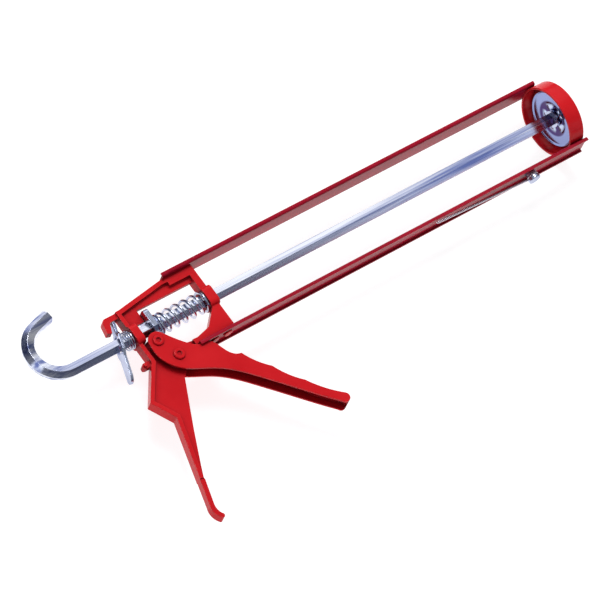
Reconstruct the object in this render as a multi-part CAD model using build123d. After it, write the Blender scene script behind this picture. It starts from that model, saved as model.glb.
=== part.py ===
from build123d import *
import os
from math import cos, hypot, radians, sin, tan

# Skeleton caulking gun, lying on its left side. Millimetres.
# Working axes: X along the push rod towards the nose, Y to the gun's top side (the handle points to -Y),
# Z to its right side. X = 0 is the front face of the body's front wall and the rod's axis is Y = Z = 0.
# The last section moves every piece so that the origin is the bottom centre of the whole gun.

# ---- driving dimensions ----
RING_OUTER_R = 27.5
RING_FRONT_X = 328.0
RING_WIDTH = 13.0
RING_WALL = 1.5
LIP_OPENING_R = 21.0
RAIL_SEAT_Y = 27.2          # inner face of both rails, on flats of the ring and pads of the body
RAIL_HEIGHT = 3.0
RAIL_HALF_WIDTH = 9.0
SHEET = 1.4
UPPER_RAIL_X = (-22.6, 322.5)
LOWER_RAIL_X = (-29.5, 329.4)
UPPER_RIVET_X = (-5.0, -16.0)
LOWER_RIVET_X = (-3.0, -14.5)
RAIL_RIVET_R = 1.8
RAIL_HEAD_R = 3.6
RIVET_DEPTH = 2.8

CAST_HALF = 4.5             # half depth of the casting's ribs
WEB_HALF = 1.5              # half depth of its web
RIB = 3.0
FRONT_WALL_X = (-2.5, 3.0)
REAR_WALL_X = -67.5
BOSS_HALF_HEIGHT = 8.0
BOSS_HALF_WIDTH = 7.4
FRONT_BOSS_X = (-3.5, 4.2)
REAR_BOSS_X = (REAR_WALL_X, -61.2)
LUG_HALF = 3.0
ROD_HOLE_R = 5.5

ROD_FLATS = 9.0
ROD_TURN = 15.0             # degrees between the hexagon's flats and the plane of the hook
ROD_SHOULDER_X = 320.5
HOOK_X = -118.8
HOOK_R = 19.9
HOOK_TURN = 163.7           # degrees
HOOK_TIP = 15.0
STUD_R = 2.5

DISC_R = 22.0
DISC_SHEET = 1.2
DISC_BACK_X = ROD_SHOULDER_X + 1.5
DISH_R = 14.5
NUT_THICKNESS = 1.7

PIVOT = (-47.7, -28.3)      # trigger hinge
PUSHER = (-54.7, -12.4)     # pin that pushes the drive plate
CHEEK_INNER = 5.4
CHEEK_OUTER = 6.8
PIN_R = 3.0
RUNNING_CLEARANCE = 0.05
EAR_R = 7.2                 # trigger's ear round the pusher pin
EAR_LIMIT_X = -25.0
CREST_1 = (-7.5, -48.8)     # crests between the finger hollows
CREST_2 = (6.1, -67.9)
CREST_3 = (20.4, -88.2)
CREST_4 = (40.4, -110.7)
SCALLOP = 1.3
TIP_END = (30.6, -111.0)

DRIVE_PLATE_X = -51.4
DRIVE_PLATE_THICKNESS = 4.0
WASHER_THICKNESS = 1.2
WASHER_R = 8.6
MAIN_SPRING_R = 7.4
MAIN_WIRE_R = 1.0
MAIN_SPRING_PITCH = 6.6

RELEASE_PIVOT = (-72.8, 15.2)
RELEASE_TILT = 18.5
RELEASE_LENGTH = 46.8
RELEASE_THICKNESS = 2.0
RELEASE_SPRING_R = 6.6
RELEASE_WIRE_R = 0.6
STOP_PIN = (-72.4, -23.0)
STOP_PIN_R = 1.2
STOP_EAR_R = 2.2
STOP_EAR_HALF = 2.5

WIRE_PIVOT_X = 277.0
PIERCER_R = 1.0
PIERCER_LENGTH = 92.0
PIERCER_LEAN = 6.5          # degrees that the stored wire leans across the rail
PIERCER_EYE_R = 3.6         # to the middle of the wire
PIERCER_EYE_TURN = 340
WIRE_RIVET_R = 2.0
WIRE_HEAD_R = 4.8
UPSET_R = 3.2
WIRE_Y = -RAIL_SEAT_Y - RAIL_HEIGHT - 0.5 - PIERCER_R
WEB_FACE_Y = -RAIL_SEAT_Y - SHEET


# ---- helpers ----
def slab(face, half_depth):
    """Extrude a face both ways from Z = 0."""
    return extrude(face, amount=half_depth, both=True)


def polygon(*points):
    return Polygon(*points, align=None)


def along_x(radius, x0, x1, y=0.0, z=0.0):
    """Cylinder along X."""
    return Pos((x0 + x1) / 2, y, z) * Rot(0, 90, 0) * Cylinder(radius, x1 - x0)


def along_y(radius, y0, y1, x, z=0.0):
    """Cylinder along Y."""
    return Pos(x, (y0 + y1) / 2, z) * Rot(90, 0, 0) * Cylinder(radius, abs(y1 - y0))


def along_z(radius, z0, z1, x, y):
    """Cylinder along Z."""
    return Pos(x, y, (z0 + z1) / 2) * Cylinder(radius, z1 - z0)


def block(x, y, z):
    """Box from three (low, high) pairs."""
    centre = [(low + high) / 2 for low, high in (x, y, z)]
    size = [high - low for low, high in (x, y, z)]
    return Pos(*centre) * Box(*size)


def band(points, width):
    """Strip of constant width on the left-hand side of a polyline."""
    normals = []
    for (x0, y0), (x1, y1) in zip(points, points[1:]):
        length = hypot(x1 - x0, y1 - y0)
        normals.append(((y0 - y1) / length, (x1 - x0) / length))
    inner = []
    for (x, y), before, after in zip(points, normals[:1] + normals, normals + normals[-1:]):
        mitre = width / (1 + before[0] * after[0] + before[1] * after[1])
        inner.append((x + mitre * (before[0] + after[0]), y + mitre * (before[1] + after[1])))
    return polygon(*points, *reversed(inner))


def hexagon(flats, turn=0.0):
    """Hexagon in the YZ plane at X = 0, with a flat facing Z before it is turned."""
    return Plane.YZ * Rot(0, 0, turn) * RegularPolygon(flats / 2, 6, major_radius=False, rotation=30)


def coil(radius, wire_r, pitch, x0, x1):
    """Round-wire helix about the rod's axis between the planes x0 and x1."""
    height = x1 - x0 - 2 * wire_r
    path = Pos(x0 + wire_r, 0, 0) * Rot(0, 90, 0) * Helix(pitch, height, radius)
    section = Plane(path @ 0, z_dir=path % 0) * Circle(wire_r)
    return sweep(section, path, is_frenet=True)


# ---- body casting ----
REAR_LINE = [(REAR_WALL_X, 21.6), (REAR_WALL_X, -23.2), (-87.2, -49.4), (-77.2, -67.4), (-90.6, -114.0)]
FRONT_LINE = [(-87.3, -116.2), (-82.8, -106.1), (-70.4, -79.9), (-60.2, -59.6), (-52.4, -44.2)]
TOP_LINE = [(FRONT_WALL_X[1], RAIL_SEAT_Y), (-25.2, RAIL_SEAT_Y), (REAR_WALL_X, 21.2)]
GUSSET = [(FRONT_WALL_X[0], -7.6), (-15.0, -20.0), (-27.0, -22.8)]
WINDOW_TOP = [(-51.8, 16.3), (FRONT_WALL_X[0], 16.3)]
WINDOW_REAR = [(-57.5, -18.5), (-63.5, -13.5), (-63.5, 6.5), (-51.8, 6.5)]


def handle_flange():
    """Rear rib of the handle below the web: a strap that starts inside the rib above and curls forward."""
    root = (-88.2, -108.2)
    start = REAR_LINE[-1]
    curl = (-96.0, -133.0)
    low = (-96.2, -142.0)
    outer = Line(start, curl) + ThreePointArc(curl, low, (-93.4, -146.4))
    tip = ThreePointArc((-93.4, -146.4), (-91.2, -145.2), (-92.0, -143.0))
    palm = ThreePointArc((-92.0, -143.0), (-93.2, -139.4), (-92.9, -134.6))
    inner = palm + Line((-92.9, -134.6), FRONT_LINE[0])
    return make_face(outer + tip + inner + Line(FRONT_LINE[0], root) + Line(root, start))


def release_lug():
    """Hook at the back of the body that holds the top of the release plate."""
    heel = ThreePointArc((-76.4, 21.2), (-79.0, 20.3), (-80.2, 17.8))
    hollow = ThreePointArc((-76.0, 14.4), (-75.2, 16.2), (-73.4, 16.9))
    outer = Line((REAR_WALL_X + 1, 21.2), heel @ 0) + heel + Line(heel @ 1, (-81.6, 10.4))
    inner = Line((-81.6, 10.4), (-78.2, 9.4)) + Line((-78.2, 9.4), hollow @ 0) + hollow
    root = Line(hollow @ 1, (REAR_WALL_X + 1, 16.9)) + Line((REAR_WALL_X + 1, 16.9), (REAR_WALL_X + 1, 21.2))
    return slab(make_face(outer + inner + root), LUG_HALF)


def stop_ear():
    """Small ear behind the rear wall that carries the release plate's stop pin."""
    x, y = STOP_PIN
    top = [(REAR_WALL_X + 1, y + STOP_EAR_R), (x, y + STOP_EAR_R)]
    root = [*top, (x, y - STOP_EAR_R), (REAR_WALL_X - 1, y - STOP_EAR_R), (REAR_WALL_X + 1, y)]
    return slab(polygon(*root), STOP_EAR_HALF) + along_z(STOP_EAR_R, -STOP_EAR_HALF, STOP_EAR_HALF, x, y)


def rod_boss(x0, x1):
    """Rounded block that widens a wall round the rod's hole."""
    boss = block((x0, x1), (-BOSS_HALF_HEIGHT, BOSS_HALF_HEIGHT), (-BOSS_HALF_WIDTH, BOSS_HALF_WIDTH))
    return fillet(boss.edges().filter_by(Axis.X), 4.0)


def body_casting():
    wall_rear, wall_front = FRONT_WALL_X
    foot = [(-31.0, -RAIL_SEAT_Y), (wall_front, -RAIL_SEAT_Y)]
    outline = TOP_LINE + REAR_LINE[1:] + FRONT_LINE + [(-44.5, -36.6), (-38.0, -31.0)] + foot
    window = slab(polygon(*WINDOW_TOP, *GUSSET, *WINDOW_REAR), 2 * CAST_HALF)
    web = slab(polygon(*outline), WEB_HALF)
    ribs = slab(band(TOP_LINE, RIB + 0.4), CAST_HALF)
    ribs += slab(band(REAR_LINE, RIB), CAST_HALF)
    ribs += slab(handle_flange(), CAST_HALF - 0.8)
    wall = [(wall_rear, RAIL_SEAT_Y), *GUSSET, (-31.0, -22.6), *foot, (wall_front, RAIL_SEAT_Y)]
    ribs += slab(polygon(*wall), CAST_HALF)
    ribs += block((-20.0, wall_rear), (20.6, RAIL_SEAT_Y), (-CAST_HALF, CAST_HALF))
    casting = web + ribs - window
    casting += release_lug() + stop_ear() + along_z(8.2, -CAST_HALF, CAST_HALF, *PIVOT)
    casting += rod_boss(*FRONT_BOSS_X) + rod_boss(*REAR_BOSS_X)
    casting -= along_x(ROD_HOLE_R, REAR_WALL_X - 1, FRONT_BOSS_X[1] + 1)
    casting -= along_z(PIN_R + RUNNING_CLEARANCE, -CAST_HALF, CAST_HALF, *PIVOT)
    casting -= along_z(STOP_PIN_R, -CAST_HALF, CAST_HALF, *STOP_PIN)
    for x in UPPER_RIVET_X:
        casting -= along_y(RAIL_RIVET_R, RAIL_SEAT_Y - RIVET_DEPTH, RAIL_SEAT_Y, x)
    for x in LOWER_RIVET_X:
        casting -= along_y(RAIL_RIVET_R, -RAIL_SEAT_Y, -RAIL_SEAT_Y + RIVET_DEPTH, x)
    return casting


# ---- rails, ring and their rivets ----


def rail(ends, side, holes):
    """Shallow steel channel whose flanges point away from the rod. side is 1 above the rod, -1 below it."""
    x0, x1 = ends
    top = RAIL_SEAT_Y + RAIL_HEIGHT
    outer = block(ends, (RAIL_SEAT_Y, top), (-RAIL_HALF_WIDTH, RAIL_HALF_WIDTH))
    outer = fillet(outer.edges().filter_by(Axis.X).group_by(Axis.Y)[0], 1.6)
    trough_half = RAIL_HALF_WIDTH - SHEET
    trough = block((x0 - 1, x1 + 1), (RAIL_SEAT_Y + SHEET, top + 1), (-trough_half, trough_half))
    channel = outer - trough
    for x, radius in holes:
        channel -= along_y(radius, RAIL_SEAT_Y - 1, RAIL_SEAT_Y + SHEET + 1, x)
    return channel if side > 0 else Rot(180, 0, 0) * channel


def upper_rail():
    return rail(UPPER_RAIL_X, 1, [(x, RAIL_RIVET_R) for x in UPPER_RIVET_X])


def lower_rail():
    holes = [(x, RAIL_RIVET_R) for x in LOWER_RIVET_X] + [(WIRE_PIVOT_X, WIRE_RIVET_R)]
    return rail(LOWER_RAIL_X, -1, holes)


def rail_rivets(places, side):
    """Dome-headed rivets that hold one rail on the body."""
    rivets = []
    seat = RAIL_SEAT_Y + SHEET
    for x in places:
        shank = along_y(RAIL_RIVET_R, RAIL_SEAT_Y - RIVET_DEPTH, seat, x)
        head = fillet(along_y(RAIL_HEAD_R, seat, seat + 1.4, x).edges().sort_by(Axis.Y)[-1], 1.0)
        rivet = shank + head
        rivets.append(rivet if side > 0 else Rot(180, 0, 0) * rivet)
    return Compound(children=rivets)


def nose_ring():
    """Hoop with a lip at the front that the cartridge bears on, and flats for the two rails."""
    rear_x = RING_FRONT_X - RING_WIDTH
    inner_r = RING_OUTER_R - RING_WALL
    hoop = along_x(RING_OUTER_R, rear_x, RING_FRONT_X)
    hoop -= along_x(inner_r, rear_x - 1, RING_FRONT_X - RING_WALL)
    hoop -= along_x(LIP_OPENING_R, rear_x, RING_FRONT_X + 1)
    front_edge = hoop.edges().filter_by(GeomType.CIRCLE).sort_by(Axis.X)[-2:].sort_by(SortBy.RADIUS)[-1]
    hoop = fillet(front_edge, 1.0)
    reach = RING_OUTER_R + 1
    return hoop & block((rear_x, RING_FRONT_X), (-RAIL_SEAT_Y, RAIL_SEAT_Y), (-reach, reach))


# ---- push rod and plunger ----
def push_rod():
    """Hexagonal bar: turned stud at the nose, J hook at the back."""
    section = hexagon(ROD_FLATS, ROD_TURN)
    straight = extrude(Pos(HOOK_X, 0, 0) * section, amount=ROD_SHOULDER_X - HOOK_X, dir=(1, 0, 0))
    bend = revolve(Pos(HOOK_X, 0, 0) * section, Axis((HOOK_X, HOOK_R, 0), (0, 0, -1)), HOOK_TURN)
    turned = Pos(HOOK_X, HOOK_R, 0) * Rot(0, 0, -HOOK_TURN) * Pos(0, -HOOK_R, 0)
    tip = turned * extrude(section, -HOOK_TIP, (1, 0, 0))
    stud = along_x(STUD_R, ROD_SHOULDER_X, RING_FRONT_X - RING_WALL - 0.1)
    return straight + bend + tip + stud


def plunger_disc():
    """Pressed steel disc: dished centre with four raised ribs, flat margin and a rim turned back."""
    margin_x = DISC_BACK_X
    dish_x = margin_x + DISC_SHEET
    disc = along_x(DISC_R, margin_x, margin_x + DISC_SHEET) - along_x(DISH_R - 1, margin_x - 1, margin_x + 3)
    disc += along_x(DISH_R, dish_x, dish_x + DISC_SHEET)
    disc += along_x(DISC_R, margin_x - 1.6, margin_x) - along_x(DISC_R - DISC_SHEET, margin_x - 2, margin_x)
    rib = block((margin_x + 0.2, dish_x), (4.5, DISH_R - 1), (-1.6, 1.6))
    for turn in (0, 90, 180, 270):
        disc += Rot(turn, 0, 0) * rib
    disc += along_x(5.0, margin_x, dish_x)
    return disc - along_x(STUD_R + RUNNING_CLEARANCE, margin_x - 1, dish_x + 3)


def plunger_collar():
    """Washer between the rod's shoulder and the disc."""
    collar = along_x(6.5, ROD_SHOULDER_X, DISC_BACK_X - 0.1)
    return collar - along_x(STUD_R, ROD_SHOULDER_X - 1, DISC_BACK_X)


def plunger_nut():
    """Thin nut that keeps the disc on the stud."""
    start = DISC_BACK_X + 2 * DISC_SHEET + 0.1
    nut = extrude(Pos(start, 0, 0) * hexagon(ROD_FLATS), amount=NUT_THICKNESS, dir=(1, 0, 0))
    return nut - along_x(STUD_R, start - 1, start + NUT_THICKNESS + 1)


# ---- trigger and its pins ----


def scallop(start, end):
    """Arc for one finger, hollowed towards the handle."""
    length = hypot(end[0] - start[0], end[1] - start[1])
    across = ((end[1] - start[1]) / length, (start[0] - end[0]) / length)
    middle = ((start[0] + end[0]) / 2 + SCALLOP * across[0], (start[1] + end[1]) / 2 + SCALLOP * across[1])
    return ThreePointArc(start, middle, end)


def ear_point(angle):
    return (PUSHER[0] + EAR_R * cos(radians(angle)), PUSHER[1] + EAR_R * sin(radians(angle)))


def trigger_outline():
    """Side view of the trigger, from the ear round the pusher pin to the rounded tip."""
    ear_back = ear_point(190)
    ear_front = ear_point(38)
    ear = ThreePointArc(ear_back, ear_point(100), ear_front)
    neck = Spline(ear_front, (-35.6, -25.2), (-29.6, -28.9), (-22.6, -29.9), (-17.6, -38.0), CREST_1)
    fingers = scallop(CREST_1, CREST_2) + scallop(CREST_2, CREST_3) + scallop(CREST_3, CREST_4)
    tip = ThreePointArc(CREST_4, (40.0, -116.4), (34.4, -114.9)) + Line((34.4, -114.9), TIP_END)
    heel = [(-27.0, -51.8), (-38.6, -45.6), (-52.3, -37.8), (-60.0, -28.0)]
    back = Spline(TIP_END, (14.2, -93.2), (-5.5, -71.5), *heel, ear_back)
    return make_face(ear + neck + fingers + tip + back)


def trigger():
    """Sheet-steel channel: two cheeks over the body and a spine under the fingers."""
    outline = trigger_outline()
    lever = slab(outline, CHEEK_OUTER)
    cavity = slab(Pos(-1.1, -0.9, 0) * outline, CHEEK_INNER)
    ears = block((-80.0, EAR_LIMIT_X), (-60.0, 0.0), (-CHEEK_INNER, CHEEK_INNER))
    lever = lever - cavity - ears
    reach = CHEEK_OUTER + 1
    lever -= along_z(PIN_R + RUNNING_CLEARANCE, -reach, reach, *PIVOT)
    return lever - along_z(PIN_R, -reach, reach, *PUSHER)


def hollow_rivet(place, head_r, gap):
    """Pin across both cheeks with a dimpled head at each end."""
    head_z = CHEEK_OUTER + gap
    rivet = along_z(PIN_R, -head_z, head_z, *place)
    head = fillet(along_z(head_r, head_z, head_z + 1.5, *place).edges().sort_by(Axis.Z)[-1], 0.9)
    head -= along_z(1.9, head_z + 0.4, head_z + 2, *place)
    return rivet + head + mirror(head, Plane.XY)


def trigger_pivot_rivet():
    return hollow_rivet(PIVOT, 4.3, 0.1)


def pusher_pin():
    return hollow_rivet(PUSHER, 4.1, 0.0)


def pivot_washers():
    """Two thin washers between the casting's pivot boss and the trigger's cheeks."""
    washer = along_z(6.4, CAST_HALF, CHEEK_INNER - 0.1, *PIVOT)
    washer -= along_z(PIN_R + RUNNING_CLEARANCE, CAST_HALF - 1, CHEEK_INNER + 1, *PIVOT)
    return Compound(children=[washer, mirror(washer, Plane.XY)])


# ---- drive plate and main spring ----
def drive_plate():
    """Thick gripping plate: wide round the rod, with a tongue between the trigger's cheeks."""
    side = [(8.0, 12.6), (8.0, -2.0), (4.8, -5.2), (4.8, -16.6)]
    outline = side + [(-z, y) for z, y in reversed(side)]
    face = make_face(Polyline(*[(DRIVE_PLATE_X, y, z) for z, y in outline], close=True))
    plate = extrude(face, amount=DRIVE_PLATE_THICKNESS, dir=(1, 0, 0))
    plate = fillet(plate.edges().filter_by(Axis.X).sort_by(Axis.Y)[-2:], 2.5)
    return plate - along_x(ROD_HOLE_R, DRIVE_PLATE_X - 1, DRIVE_PLATE_X + DRIVE_PLATE_THICKNESS + 1)


def spring_washer():
    start = DRIVE_PLATE_X + DRIVE_PLATE_THICKNESS
    washer = along_x(WASHER_R, start, start + WASHER_THICKNESS)
    return washer - along_x(ROD_HOLE_R, start - 1, start + WASHER_THICKNESS + 1)


def main_spring():
    start = DRIVE_PLATE_X + DRIVE_PLATE_THICKNESS + WASHER_THICKNESS
    return coil(MAIN_SPRING_R, MAIN_WIRE_R, MAIN_SPRING_PITCH, start + 0.05, FRONT_BOSS_X[0] - 0.05)


# ---- release plate, its spring and stop ----
def release_plate():
    """Thumb plate: rounded top edge in the lug, slotted round the rod, narrower thumb end."""
    half = RELEASE_THICKNESS / 2
    side = [(3.6, 0.0), (3.6, -7.0), (7.4, -10.5), (7.4, -22.0), (4.9, -26.5), (4.9, 4.9 - RELEASE_LENGTH)]
    outline = Polyline(*[(0, y, z) for z, y in side])
    mirrored = Polyline(*[(0, y, -z) for z, y in side])
    end = ThreePointArc(outline @ 1, (0, -RELEASE_LENGTH, 0), mirrored @ 1)
    face = make_face(outline + end + mirrored + Line(outline @ 0, mirrored @ 0))
    plate = extrude(face, amount=half, both=True, dir=(1, 0, 0))
    plate += Cylinder(half, 2 * side[0][0])
    rod_v = -RELEASE_PIVOT[1] / cos(radians(RELEASE_TILT))
    slot = Pos(0, rod_v, 0) * Rot(0, 90, 0) * SlotCenterToCenter(2.4, 2 * ROD_HOLE_R + 0.4, rotation=90)
    plate -= extrude(slot, amount=3.0, both=True)
    return Pos(*RELEASE_PIVOT, 0) * Rot(0, 0, -RELEASE_TILT) * plate


def release_spring():
    back_gap = RELEASE_SPRING_R * tan(radians(RELEASE_TILT))
    plate_x = RELEASE_PIVOT[0] - RELEASE_PIVOT[1] * tan(radians(RELEASE_TILT))
    end = plate_x + back_gap + RELEASE_THICKNESS
    return coil(RELEASE_SPRING_R, RELEASE_WIRE_R, 1.9, end, REAR_WALL_X - 0.05)


def release_stop_pin():
    return along_z(STOP_PIN_R, -CAST_HALF, CAST_HALF, *STOP_PIN)


# ---- piercing wire on the lower rail ----


def piercing_wire():
    """Stiff wire with an open eye round its rivet and a pointed end."""
    shaft = Line((-PIERCER_LENGTH, -PIERCER_EYE_R), (0, -PIERCER_EYE_R))
    path = Wire([shaft, CenterArc((0, 0), PIERCER_EYE_R, 270, PIERCER_EYE_TURN)])
    wire = sweep(Plane(shaft @ 0, z_dir=(1, 0, 0)) * Circle(PIERCER_R), path)
    wire += Pos(shaft @ 0) * Pos(-PIERCER_R, 0, 0) * Rot(0, -90, 0) * Cone(PIERCER_R, 0.3, 2 * PIERCER_R)
    return Pos(WIRE_PIVOT_X, WIRE_Y, 0) * Rot(0, PIERCER_LEAN, 0) * Rot(90, 0, 0) * wire


def wire_rivet():
    """Round-headed rivet through the rail's web, with its far end set over."""
    low = WIRE_Y - PIERCER_R - 0.1
    shank = along_y(WIRE_RIVET_R, low, -RAIL_SEAT_Y, WIRE_PIVOT_X)
    head = fillet(along_y(WIRE_HEAD_R, low - 2.8, low, WIRE_PIVOT_X).edges().sort_by(Axis.Y)[0], 0.6)
    upset = along_y(UPSET_R, -RAIL_SEAT_Y, 1.2 - RAIL_SEAT_Y, WIRE_PIVOT_X)
    upset = fillet(upset.edges().sort_by(Axis.Y)[-1], 0.7)
    return shank + head + upset


def wire_spacer():
    """Bush that holds the wire's eye clear of the rail's flanges."""
    bush = along_y(4.2, WIRE_Y + PIERCER_R + 0.1, WEB_FACE_Y, WIRE_PIVOT_X)
    return bush - along_y(WIRE_RIVET_R, WIRE_Y, WEB_FACE_Y + 1, WIRE_PIVOT_X)


# ---- assembly ----
PIECES = {
    "body_casting": body_casting(),
    "upper_rail": upper_rail(),
    "lower_rail": lower_rail(),
    "nose_ring": nose_ring(),
    "upper_rail_rivets": rail_rivets(UPPER_RIVET_X, 1),
    "lower_rail_rivets": rail_rivets(LOWER_RIVET_X, -1),
    "push_rod": push_rod(),
    "plunger_disc": plunger_disc(),
    "plunger_collar": plunger_collar(),
    "plunger_nut": plunger_nut(),
    "trigger": trigger(),
    "trigger_pivot_rivet": trigger_pivot_rivet(),
    "pivot_washers": pivot_washers(),
    "pusher_pin": pusher_pin(),
    "drive_plate": drive_plate(),
    "spring_washer": spring_washer(),
    "main_spring": main_spring(),
    "release_plate": release_plate(),
    "release_spring": release_spring(),
    "release_stop_pin": release_stop_pin(),
    "piercing_wire": piercing_wire(),
    "wire_rivet": wire_rivet(),
    "wire_spacer": wire_spacer(),
}


def rest_offset(pieces):
    """Shift that puts the origin at the bottom centre of the gun's box, to the nearest 0.1 mm."""
    boxes = [piece.bounding_box() for piece in pieces]
    middle_x = (min(box.min.X for box in boxes) + max(box.max.X for box in boxes)) / 2
    middle_y = (min(box.min.Y for box in boxes) + max(box.max.Y for box in boxes)) / 2
    return Pos(-round(middle_x, 1), -round(middle_y, 1), RING_OUTER_R)


os.makedirs("parts", exist_ok=True)
REST = rest_offset(PIECES.values())
print("working axes to row frame:", REST.position)
for name, piece in PIECES.items():
    export_step(REST * piece, f"parts/{name}.step")
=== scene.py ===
from math import cos, sin, tau

import bmesh
import bpy
from mathutils import Matrix, Vector


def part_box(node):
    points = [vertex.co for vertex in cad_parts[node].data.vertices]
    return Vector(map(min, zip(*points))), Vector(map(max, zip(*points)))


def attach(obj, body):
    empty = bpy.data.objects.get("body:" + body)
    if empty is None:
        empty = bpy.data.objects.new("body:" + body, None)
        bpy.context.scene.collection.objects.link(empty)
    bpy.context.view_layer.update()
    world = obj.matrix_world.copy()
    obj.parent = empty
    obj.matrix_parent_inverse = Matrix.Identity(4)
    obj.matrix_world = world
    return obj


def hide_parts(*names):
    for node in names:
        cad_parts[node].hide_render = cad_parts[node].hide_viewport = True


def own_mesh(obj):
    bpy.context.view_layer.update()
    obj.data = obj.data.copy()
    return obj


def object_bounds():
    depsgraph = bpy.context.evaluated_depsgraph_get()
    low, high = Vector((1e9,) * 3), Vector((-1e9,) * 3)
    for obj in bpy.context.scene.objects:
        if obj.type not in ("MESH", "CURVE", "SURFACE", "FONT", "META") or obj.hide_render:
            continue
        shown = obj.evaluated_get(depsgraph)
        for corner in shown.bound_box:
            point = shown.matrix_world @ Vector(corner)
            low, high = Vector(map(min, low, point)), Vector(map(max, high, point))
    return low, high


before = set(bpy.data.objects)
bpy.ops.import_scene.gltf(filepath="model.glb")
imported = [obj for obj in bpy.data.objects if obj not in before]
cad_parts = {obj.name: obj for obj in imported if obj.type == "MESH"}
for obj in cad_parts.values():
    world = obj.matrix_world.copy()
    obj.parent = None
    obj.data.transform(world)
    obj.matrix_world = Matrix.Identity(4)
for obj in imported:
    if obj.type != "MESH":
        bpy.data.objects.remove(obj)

CAD_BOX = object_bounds()
MM = 0.001


# ---- places worked out from the frame ----
def span(node, axis):
    """Low and high coordinate of one CAD node along an axis."""
    low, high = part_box(node)
    return low[axis], high[axis]


def middle(node, axis):
    return sum(span(node, axis)) / 2


ROD_Y = middle("plunger_nut", 1)
ROD_Z = middle("plunger_nut", 2)


# ---- springs and disc ----
COIL_STEPS = 40                 # rings of vertices in one turn
COIL_SIDES = 12
COIL_GAP = 0.1 * MM             # left free at each end of a spring
MAIN_WIRE_R = 1.0 * MM
MAIN_TURNS = 6.6
MAIN_CLOSED = 0.7               # turns that touch, at each end
RELEASE_WIRE_R = 0.5 * MM
RELEASE_TURNS = 3.0
RELEASE_CLOSED = 0.3

DISC_STEPS = 120
DISC_RINGS = 44
DISC_R = 22.0 * MM
DISC_HOLE_R = 2.55 * MM
DISC_SHEET = 1.0 * MM
DISC_HUB_R = 5.0 * MM
DISC_HUB_TOP_R = 0.6 * DISC_HUB_R
DISC_HUB_RISE = 1.4 * MM
DISC_DISH_R = 14.5 * MM
DISC_WALL_R = 0.66 * DISC_DISH_R
DISC_DEPTH = 2.0 * MM
DISC_RIM_R = 20.8 * MM
DISC_RIM = 0.9 * MM
LOBES = 5
LOBE_RISE = 1.3 * MM
LOBE_FOOT_R = 0.55 * DISC_DISH_R
LOBE_TOP_R = 0.6 * DISC_DISH_R
LOBE_END_R = 0.85 * DISC_DISH_R


# ---- materials ----
BEVEL_SAMPLES = 6
# Painted shade for the enamel's corners and recesses.
ENAMEL_PAINTED_SHADE = (0.13, 0.001, 0.008)
# Painted highlight for the enamel's edges.
ENAMEL_EDGE_HIGHLIGHT = (0.86, 0.050, 0.055)
ENAMEL_CHIP = (0.80, 0.62, 0.60)

# The disc's three colours (zinc margin, painted shade in the dish, painted highlights on the lobes), and
# the radii between which the last two fade out.
DISC_MARGIN = (0.27, 0.32, 0.58)
DISC_PAINTED_SHADE = (0.08, 0.05, 0.16)
DISC_PAINTED_SHADE_FADE = (13.6 * MM, 14.8 * MM)
DISC_PAINTED_HIGHLIGHT = (0.56, 0.66, 0.86)
DISC_PAINTED_HIGHLIGHT_FADE = (10.0 * MM, 12.5 * MM)


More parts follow.
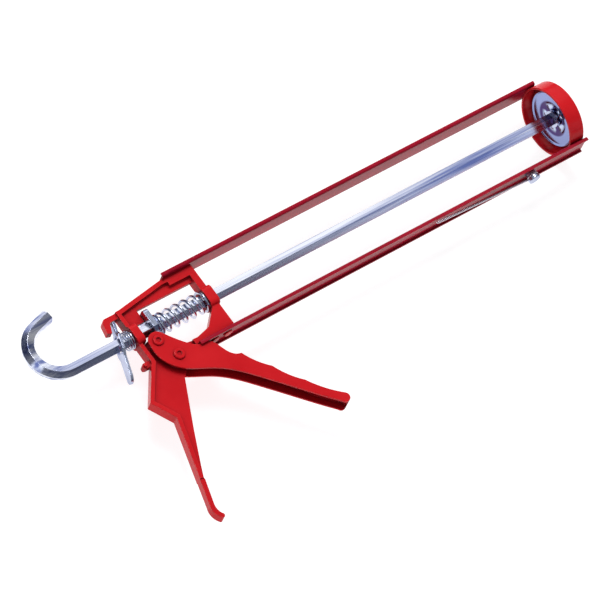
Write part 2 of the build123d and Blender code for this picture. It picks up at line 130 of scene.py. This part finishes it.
class Shader:
    """A new node material with a Principled shader, and short calls for the nodes it uses."""

    def __init__(self, name):
        self.material = bpy.data.materials.new(name)
        self.material.use_nodes = True
        self.tree = self.material.node_tree
        self.surface = self.tree.nodes["Principled BSDF"]

    def node(self, kind, **settings):
        made = self.tree.nodes.new(kind)
        for key, value in settings.items():
            if key in made.inputs.keys():
                made.inputs[key].default_value = value
            else:
                setattr(made, key, value)
        return made

    def link(self, source, target):
        self.tree.links.new(source, target)

    def place(self, scale):
        """Object-space coordinates, stretched by the three factors."""
        coordinates = self.node("ShaderNodeTexCoord")
        mapping = self.node("ShaderNodeMapping", Scale=scale)
        self.link(coordinates.outputs["Object"], mapping.inputs["Vector"])
        return mapping.outputs["Vector"]

    def noise(self, scale, detail, stretch=(1, 1, 1), roughness=0.5):
        made = self.node("ShaderNodeTexNoise", Scale=scale, Detail=detail, Roughness=roughness)
        self.link(self.place(stretch), made.inputs["Vector"])
        return made.outputs["Fac"]

    def math(self, operation, first, second=None):
        made = self.node("ShaderNodeMath", operation=operation)
        for socket, value in zip(made.inputs, (first, second)):
            if isinstance(value, (int, float)):
                socket.default_value = value
            elif value is not None:
                self.link(value, socket)
        return made.outputs["Value"]

    def ramp(self, source, stops):
        """Colour ramp between two (position, colour) stops."""
        made = self.node("ShaderNodeValToRGB")
        for element, (position, colour) in zip(made.color_ramp.elements, stops):
            element.position = position
            element.color = (*colour, 1)
        self.link(source, made.inputs["Fac"])
        return made.outputs["Color"]

    def spread(self, source, low, high, from_low=0.0, from_high=1.0):
        """Maps the source range from_low..from_high to low..high, clamped at both ends."""
        made = self.node("ShaderNodeMapRange")
        ends = {"From Min": from_low, "From Max": from_high, "To Min": low, "To Max": high}
        for name, value in ends.items():
            made.inputs[name].default_value = value
        self.link(source, made.inputs["Value"])
        return made.outputs["Result"]

    def blend(self, factor, first, second):
        """Colour mix: first where the factor is 0, second where it is 1."""
        made = self.node("ShaderNodeMix", data_type="RGBA")
        self.link(factor, made.inputs["Factor"])
        for socket, colour in ((made.inputs[6], first), (made.inputs[7], second)):
            if isinstance(colour, tuple):
                socket.default_value = (*colour, 1)
            else:
                self.link(colour, socket)
        return made.outputs[2]

    def edges(self, radius, sharpness):
        """1 on outside and inside edges of the mesh within the radius, 0 on flat faces."""
        rounded = self.node("ShaderNodeBevel", samples=BEVEL_SAMPLES, Radius=radius)
        geometry = self.node("ShaderNodeNewGeometry")
        dot = self.node("ShaderNodeVectorMath", operation="DOT_PRODUCT")
        self.link(rounded.outputs["Normal"], dot.inputs[0])
        self.link(geometry.outputs["Normal"], dot.inputs[1])
        return self.spread(dot.outputs["Value"], 1.0, 0.0, 1.0 - sharpness, 1.0)

    def finish(self, height, strength, distance, edge_radius):
        """Bump from a height, over normals rounded at the mesh's edges."""
        bump = self.node("ShaderNodeBump", Strength=strength, Distance=distance)
        rounded = self.node("ShaderNodeBevel", samples=BEVEL_SAMPLES, Radius=edge_radius)
        self.link(height, bump.inputs["Height"])
        self.link(rounded.outputs["Normal"], bump.inputs["Normal"])
        self.link(bump.outputs["Normal"], self.surface.inputs["Normal"])
        return self.material


def red_enamel(name, chips, low=(0.66, 0.008, 0.014), high=(0.76, 0.014, 0.020)):
    """Red enamel with painted shade in corners and a painted highlight on edges, where it is also chipped
    to bright metal.
    """
    shader = Shader(name)
    body = shader.ramp(shader.noise(30, 3), [(0.3, low), (0.72, high)])
    # Painted shade: ambient occlusion darkens the enamel in corners and recesses.
    corner = shader.node("ShaderNodeAmbientOcclusion", samples=8, Distance=14 * MM)
    shade = shader.spread(corner.outputs["AO"], 0.85, 0.0, 0.25, 0.95)
    body = shader.blend(shade, body, ENAMEL_PAINTED_SHADE)
    # Painted highlight: the enamel is lightened along edges.
    body = shader.blend(shader.edges(0.7 * MM, 0.35), body, ENAMEL_EDGE_HIGHLIGHT)
    grit = shader.noise(900, 5, roughness=0.7)
    broken = shader.spread(grit, 0.0, 1.0, chips, chips + 0.04)
    chip = shader.math("MULTIPLY", shader.edges(0.45 * MM, 0.12), broken)
    shader.link(shader.blend(chip, body, ENAMEL_CHIP), shader.surface.inputs["Base Color"])
    shader.link(shader.spread(shader.noise(160, 2), 0.17, 0.22), shader.surface.inputs["Roughness"])
    shader.surface.inputs["Specular IOR Level"].default_value = 0.11
    peel = shader.noise(420, 2)
    return shader.finish(peel, 0.10, 0.05 * MM, 0.5 * MM)


def zinc_plate(name, stretch, tint, shade, roughness=(0.10, 0.26), streak=60):
    """Bluish bright zinc on steel, with drawing or rolling lines along the stretched direction."""
    shader = Shader(name)
    cloud = shader.noise(streak, 4, stretch, 0.6)
    shader.link(shader.ramp(cloud, [(0.34, shade), (0.58, tint)]), shader.surface.inputs["Base Color"])
    lines = shader.noise(700, 4, stretch, 0.65)
    shader.link(shader.spread(lines, *roughness), shader.surface.inputs["Roughness"])
    shader.surface.inputs["Metallic"].default_value = 1.0
    return shader.finish(lines, 0.06, 0.05 * MM, 0.35 * MM)


def pressed_zinc(name):
    """Bluish zinc for the disc, with painted shade in its dish and painted highlights on its lobes,
    placed by radius and angle.
    """
    shader = Shader(name)
    coordinates = shader.node("ShaderNodeTexCoord")
    split = shader.node("ShaderNodeSeparateXYZ")
    shader.link(coordinates.outputs["Object"], split.inputs["Vector"])
    across = shader.math("SUBTRACT", split.outputs["Y"], ROD_Y)
    height = shader.math("SUBTRACT", split.outputs["Z"], ROD_Z)
    squares = [shader.math("MULTIPLY", side, side) for side in (across, height)]
    radius = shader.math("SQRT", shader.math("ADD", *squares))
    turned = shader.math("MULTIPLY", shader.math("ARCTAN2", height, across), LOBES)
    # Painted highlights on the lobes, inside the inner radii.
    lobe = shader.spread(shader.math("COSINE", turned), 0.0, 1.0, 0.45, -0.15)
    inner = shader.spread(radius, 1.0, 0.0, *DISC_PAINTED_HIGHLIGHT_FADE)
    bright = shader.math("MULTIPLY", lobe, inner)
    # Painted shade over the dish.
    dished = shader.spread(radius, 1.0, 0.0, *DISC_PAINTED_SHADE_FADE)
    margin_and_painted_shade = shader.blend(dished, DISC_MARGIN, DISC_PAINTED_SHADE)
    shader.link(shader.blend(bright, margin_and_painted_shade, DISC_PAINTED_HIGHLIGHT), shader.surface.inputs["Base Color"])
    shader.link(shader.spread(shader.noise(500, 3), 0.08, 0.20), shader.surface.inputs["Roughness"])
    shader.surface.inputs["Metallic"].default_value = 1.0
    return shader.finish(shader.noise(900, 3), 0.05, 0.05 * MM, 0.3 * MM)


def ribbed_wire():
    """Zinc-plated wire with fine rings rolled into it, with painted highlights on the ring crests and
    painted shade in the grooves.
    """
    shader = Shader("ribbed_wire")
    wave = shader.node("ShaderNodeTexWave", bands_direction="X", Scale=230.0)
    shader.link(shader.place((1, 1, 1)), wave.inputs["Vector"])
    ring = wave.outputs["Fac"]
    # Painted highlights on the ring crests and painted shade in the grooves.
    tint = shader.ramp(ring, [(0.2, (0.45, 0.28, 0.34)), (0.8, (0.86, 0.84, 0.90))])
    shader.link(tint, shader.surface.inputs["Base Color"])
    shader.surface.inputs["Metallic"].default_value = 0.9
    shader.link(shader.spread(shader.noise(600, 3), 0.22, 0.42), shader.surface.inputs["Roughness"])
    return shader.finish(ring, 0.5, 0.25 * MM, 0.1 * MM)


ENAMEL = red_enamel("red_enamel", chips=0.72)
ENAMEL_WORN = red_enamel("red_enamel_worn", chips=0.60)
# Painted shade: the rails get a darker copy of the red enamel, so that they look darker than the casting.
# The rails look darker than the casting in the photo, which may only be the light.
ENAMEL_RAIL_SHADED = red_enamel("red_enamel_rail_shaded", 0.72, (0.36, 0.004, 0.020), (0.44, 0.007, 0.030))
ZINC_DRAWN = zinc_plate("zinc_drawn", (0.03, 1, 1), (0.80, 0.83, 0.93), (0.16, 0.20, 0.42), streak=150)
ZINC_ROLLED = zinc_plate("zinc_rolled", (1, 0.15, 1), (0.48, 0.53, 0.70), (0.26, 0.30, 0.48))
ZINC_TURNED = zinc_plate("zinc_turned", (1, 1, 1), (0.58, 0.63, 0.80), (0.30, 0.35, 0.55))
ZINC_BLUE = pressed_zinc("zinc_blue")
SPRING_STEEL = zinc_plate("spring_steel", (1, 1, 1), (0.66, 0.70, 0.82), (0.30, 0.34, 0.48), (0.08, 0.18))
RIBBED = ribbed_wire()

NODE_MATERIALS = {
    "body_casting": ENAMEL,
    # The rails take the darker enamel, as painted shade.
    "upper_rail": ENAMEL_RAIL_SHADED,
    "lower_rail": ENAMEL_RAIL_SHADED,
    "nose_ring": ENAMEL,
    "upper_rail_rivets": ENAMEL,
    "lower_rail_rivets": ENAMEL,
    "trigger": ENAMEL_WORN,
    "trigger_pivot_rivet": ENAMEL,
    "pusher_pin": ENAMEL,
    "release_stop_pin": ENAMEL,
    "push_rod": ZINC_DRAWN,
    "plunger_disc": ZINC_BLUE,
    "plunger_collar": ZINC_TURNED,
    "plunger_nut": ZINC_TURNED,
    "pivot_washers": ZINC_TURNED,
    "drive_plate": ZINC_ROLLED,
    "spring_washer": ZINC_TURNED,
    "main_spring": SPRING_STEEL,
    "release_spring": SPRING_STEEL,
    "release_plate": ZINC_ROLLED,
    "piercing_wire": RIBBED,
    "wire_rivet": ZINC_TURNED,
    "wire_spacer": ZINC_TURNED,
}


def paint(piece, material):
    piece.data.materials.clear()
    piece.data.materials.append(material)


def paint_nodes():
    for name, material in NODE_MATERIALS.items():
        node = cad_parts[name]
        for slot in node.material_slots:
            slot.material = material


# ---- pieces with their own meshes ----
def add_piece(name, vertices, faces, material, body, slot, *nodes):
    """Smooth-shaded mesh that rides a body and stands for the named CAD nodes."""
    mesh = bpy.data.meshes.new(name)
    mesh.from_pydata(vertices, [], faces)
    mesh.polygons.foreach_set("use_smooth", [True] * len(mesh.polygons))
    mesh.update()
    piece = bpy.data.objects.new(name, mesh)
    bpy.context.collection.objects.link(piece)
    paint(piece, material)
    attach(piece, body)
    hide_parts(*nodes)
    return piece


def add_coil(name, node, wire_r, turns, closed):
    """Compression spring between the ends of its CAD node, with closed turns at both ends."""
    low, high = span(node, 0)
    radius = (span(node, 2)[1] - span(node, 2)[0]) / 2 - wire_r
    start = low + wire_r + COIL_GAP
    length = high - low - 2 * wire_r - 2 * COIL_GAP
    open_turns = turns - 2 * closed
    pitch_closed = 2 * wire_r
    pitch_open = (length - 2 * closed * pitch_closed) / open_turns
    count = int(turns * COIL_STEPS)
    vertices = []
    for index in range(count + 1):
        turned = index / COIL_STEPS
        lead = min(turned, closed) + max(turned - closed - open_turns, 0)
        travelled = min(max(turned - closed, 0), open_turns)
        x = start + lead * pitch_closed + travelled * pitch_open
        angle = tau * turned
        for side in range(COIL_SIDES):
            around = tau * side / COIL_SIDES
            out = radius + wire_r * cos(around)
            along = x + wire_r * sin(around)
            vertices.append((along, ROD_Y + out * cos(angle), ROD_Z + out * sin(angle)))
    faces = []
    for index in range(count):
        for side in range(COIL_SIDES):
            here = index * COIL_SIDES + side
            beside = index * COIL_SIDES + (side + 1) % COIL_SIDES
            faces.append((here, beside, beside + COIL_SIDES, here + COIL_SIDES))
    faces.append(tuple(reversed(range(COIL_SIDES))))
    faces.append(tuple(range(count * COIL_SIDES, (count + 1) * COIL_SIDES)))
    return add_piece(name, vertices, faces, SPRING_STEEL, "body", "spring_steel", node)


def smooth(low, high, value):
    """0 below low, 1 above high, an S-curve between."""
    share = min(max((value - low) / (high - low), 0.0), 1.0)
    return share * share * (3 - 2 * share)


def disc_profile(radius, angle):
    """How far the disc's back surface stands behind its deepest point, at one radius and angle."""
    dish = smooth(DISC_WALL_R, DISC_DISH_R, radius) * DISC_DEPTH
    lobe = sin(LOBES * angle / 2) ** 2
    inner = smooth(DISC_HUB_R, LOBE_FOOT_R, radius)
    outer = 1 - smooth(LOBE_TOP_R, LOBE_END_R, radius)
    hub = 1 - smooth(DISC_HUB_TOP_R, DISC_HUB_R, radius)
    rim = smooth(DISC_RIM_R, DISC_R, radius) * DISC_RIM
    return max(dish, hub * DISC_HUB_RISE) + LOBE_RISE * lobe * inner * outer + rim


def add_disc():
    """Pressed plunger disc: flat margin, dished middle with lobes pressed up round the hub."""
    _, front = span("plunger_disc", 0)
    width = DISC_R - DISC_HOLE_R
    rings = [DISC_HOLE_R + width * step / DISC_RINGS for step in range(DISC_RINGS + 1)]
    vertices = []
    for side in (DISC_SHEET, 0.0):
        for radius in rings:
            for step in range(DISC_STEPS):
                angle = tau * step / DISC_STEPS
                x = front - side - disc_profile(radius, angle)
                vertices.append((x, ROD_Y + radius * cos(angle), ROD_Z + radius * sin(angle)))
    faces = []
    layer = len(rings) * DISC_STEPS
    for ring in range(DISC_RINGS):
        for step in range(DISC_STEPS):
            here = ring * DISC_STEPS + step
            beside = ring * DISC_STEPS + (step + 1) % DISC_STEPS
            back = (here, here + DISC_STEPS, beside + DISC_STEPS, beside)
            faces.append(back)
            faces.append(tuple(vertex + layer for vertex in reversed(back)))
    for ring, flip in ((0, False), (DISC_RINGS, True)):
        for step in range(DISC_STEPS):
            here = ring * DISC_STEPS + step
            beside = ring * DISC_STEPS + (step + 1) % DISC_STEPS
            wall = (here, beside, beside + layer, here + layer)
            faces.append(tuple(reversed(wall)) if flip else wall)
    return add_piece("pressed_disc", vertices, faces, ZINC_BLUE, "plunger", "zinc_plate", "plunger_disc")


def add_own_pieces():
    main = add_coil("main_coil", "main_spring", MAIN_WIRE_R, MAIN_TURNS, MAIN_CLOSED)
    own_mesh(main)
    release = add_coil("release_coil", "release_spring", RELEASE_WIRE_R, RELEASE_TURNS, RELEASE_CLOSED)
    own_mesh(release)
    add_disc()


# ---- camera, lights and floor ----
# The camera was fitted by least squares to points on the rails, rod and ring.
CAMERA_PLACE = (-1.6040, -0.9053, 2.8021)
CAMERA_RIGHT = Vector((0.7786, -0.5759, 0.2493))
CAMERA_UP = Vector((0.4122, 0.7689, 0.4888))
LENS_MM = 282.0
SENSOR_MM = 36.0

HORIZON = (0.09, 0.12, 0.24, 1)
ZENITH = (1, 1, 1, 1)
WORLD_STRENGTH = 0.36
FLOOR_SIZE = 4.0
FLOOR_GAP = 0.2 * MM
FLOOR_GLOW = 0.84


def add_camera():
    data = bpy.data.cameras.new("camera")
    data.lens = LENS_MM
    data.sensor_width = SENSOR_MM
    data.clip_end = 20
    camera = bpy.data.objects.new("camera", data)
    bpy.context.collection.objects.link(camera)
    back = CAMERA_RIGHT.cross(CAMERA_UP).normalized()
    turn = Matrix((CAMERA_RIGHT.normalized(), back.cross(CAMERA_RIGHT).normalized(), back)).transposed()
    camera.matrix_world = Matrix.Translation(CAMERA_PLACE) @ turn.to_4x4()
    bpy.context.scene.camera = camera


def add_softbox(name, place, size, power, colour=(1, 1, 1)):
    """Square area light that faces the frame's origin."""
    data = bpy.data.lights.new(name, "AREA")
    data.size = size
    data.energy = power
    data.color = colour
    light = bpy.data.objects.new(name, data)
    bpy.context.collection.objects.link(light)
    light.location = place
    light.rotation_euler = (-Vector(place)).to_track_quat("-Z", "Y").to_euler()


def add_world():
    """Pale surroundings for the metal to mirror, dim and bluish towards the horizon."""
    world = bpy.data.worlds.new("studio")
    world.use_nodes = True
    bpy.context.scene.world = world
    nodes = world.node_tree.nodes
    links = world.node_tree.links
    coordinates = nodes.new("ShaderNodeTexCoord")
    split = nodes.new("ShaderNodeSeparateXYZ")
    ramp = nodes.new("ShaderNodeValToRGB")
    horizon, zenith = ramp.color_ramp.elements
    horizon.position = 0.22
    horizon.color = HORIZON
    zenith.position = 0.75
    zenith.color = ZENITH
    links.new(coordinates.outputs["Generated"], split.inputs["Vector"])
    links.new(split.outputs["Z"], ramp.inputs["Fac"])
    links.new(ramp.outputs["Color"], nodes["Background"].inputs["Color"])
    nodes["Background"].inputs["Strength"].default_value = WORLD_STRENGTH


def add_floor():
    """Paper under the gun. It gives off light, so that it renders as even white."""
    low, _ = CAD_BOX
    mesh = bpy.data.meshes.new("floor")
    form = bmesh.new()
    bmesh.ops.create_grid(form, x_segments=1, y_segments=1, size=FLOOR_SIZE)
    form.to_mesh(mesh)
    form.free()
    floor = bpy.data.objects.new("floor", mesh)
    floor.location.z = low[2] - FLOOR_GAP
    bpy.context.collection.objects.link(floor)
    shader = Shader("floor_paper")
    shader.link(shader.ramp(shader.noise(3, 2), [(0.2, (0.36, 0.36, 0.37)), (0.8, (0.38, 0.38, 0.38))]),
                shader.surface.inputs["Base Color"])
    shader.surface.inputs["Roughness"].default_value = 0.9
    shader.surface.inputs["Specular IOR Level"].default_value = 0.1
    shader.surface.inputs["Emission Color"].default_value = (1, 1, 1, 1)
    shader.surface.inputs["Emission Strength"].default_value = FLOOR_GLOW
    paint(floor, shader.material)


def add_lights():
    add_softbox("key_softbox", (0.2, 1.3, 2.6), 1.2, 46)
    add_softbox("rod_softbox", (1.45, 1.75, 1.55), 2.2, 13)
    add_softbox("low_softbox", (1.7, -1.8, 0.7), 1.0, 3, (0.80, 0.86, 1.0))
    add_softbox("hook_softbox", (-2.0, -0.2, 1.2), 1.0, 3, (0.86, 0.90, 1.0))


paint_nodes()
add_own_pieces()
add_world()
add_floor()
add_lights()
add_camera()

scene = bpy.context.scene
scene.view_settings.view_transform = "Standard"
scene.view_settings.look = "None"
